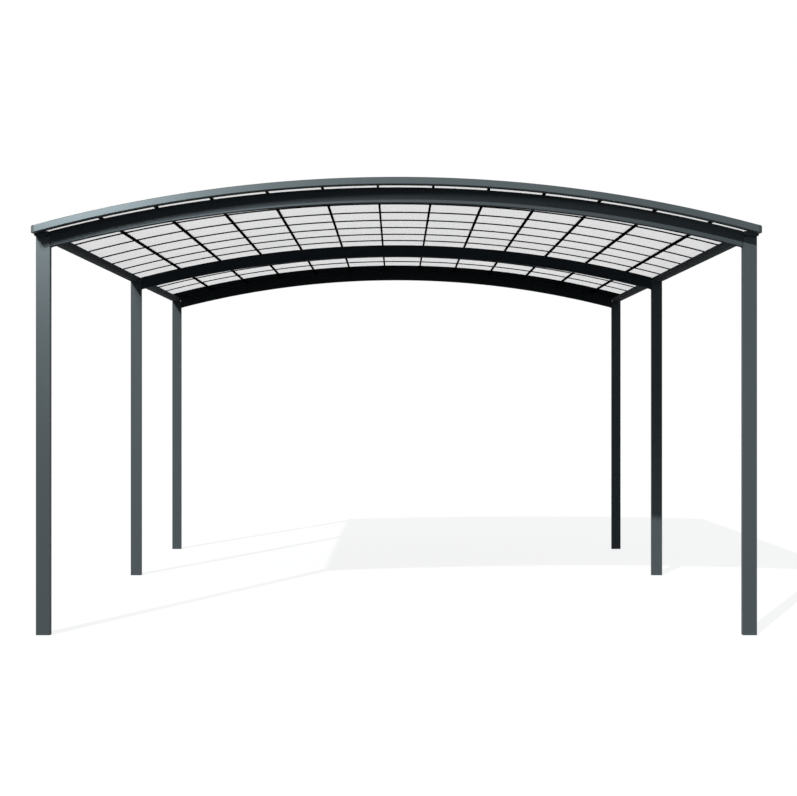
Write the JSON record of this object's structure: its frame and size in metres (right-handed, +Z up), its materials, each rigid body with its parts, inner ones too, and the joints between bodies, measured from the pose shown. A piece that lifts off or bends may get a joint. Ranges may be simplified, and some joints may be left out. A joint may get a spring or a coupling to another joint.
{
  "type": "carport",
  "caption": "Free-standing arched carport: metal posts, curved cross beams, eave gutters and a roof of translucent sheets on slim bars.",
  "frame": {"origin": "on the ground under the centre of the roof", "axes": "+X to the right seen from the front, +Y from the front edge to the rear edge, +Z up"},
  "size_m": [5.1, 6.344, 3.2198],
  "materials": {
    "frame_coat": "satin anthracite powder coat",
    "bar_coat": "matt dark powder coat",
    "end_cap": "fine-grained moulded plastic",
    "clear_sheet": "translucent multiwall sheet, opal",
    "screw_steel": "stainless fixings",
    "seal_rubber": "extruded rubber seal"
  },
  "bodies": {
    "root": {"post_front_left": "frame_coat", "post_front_right": "frame_coat", "post_middle_left": "frame_coat", "post_middle_right": "frame_coat", "post_rear_left": "frame_coat", "post_rear_right": "frame_coat", "arch_beam_front": "frame_coat", "arch_beam_middle": "frame_coat", "arch_beam_rear": "frame_coat", "gutter_left": "frame_coat", "gutter_right": "frame_coat", "fascia_front": "frame_coat", "fascia_rear": "frame_coat", "fascia_cap_front_left": "end_cap", "fascia_cap_front_right": "end_cap", "fascia_cap_rear_left": "end_cap", "fascia_cap_rear_right": "end_cap", "glazing_bar_01": "bar_coat", "glazing_bar_02": "bar_coat", "glazing_bar_03": "bar_coat", "glazing_bar_04": "bar_coat", "glazing_bar_05": "bar_coat", "glazing_bar_06": "bar_coat", "glazing_bar_07": "bar_coat", "glazing_bar_08": "bar_coat", "glazing_bar_09": "bar_coat", "glazing_bar_10": "bar_coat", "glazing_bar_11": "bar_coat", "glazing_bar_12": "bar_coat", "roof_sheet_01": "clear_sheet", "roof_sheet_02": "clear_sheet", "roof_sheet_03": "clear_sheet", "roof_sheet_04": "clear_sheet", "roof_sheet_05": "clear_sheet", "roof_sheet_06": "clear_sheet", "roof_sheet_07": "clear_sheet", "roof_sheet_08": "clear_sheet", "roof_sheet_09": "clear_sheet", "roof_sheet_10": "clear_sheet", "roof_sheet_11": "clear_sheet", "roof_sheet_12": "clear_sheet", "roof_sheet_13": "clear_sheet", "cross_ribs": "bar_coat", "cap_strips": "clear_sheet", "rear_cover": "frame_coat"}
  },
  "joints": []
}
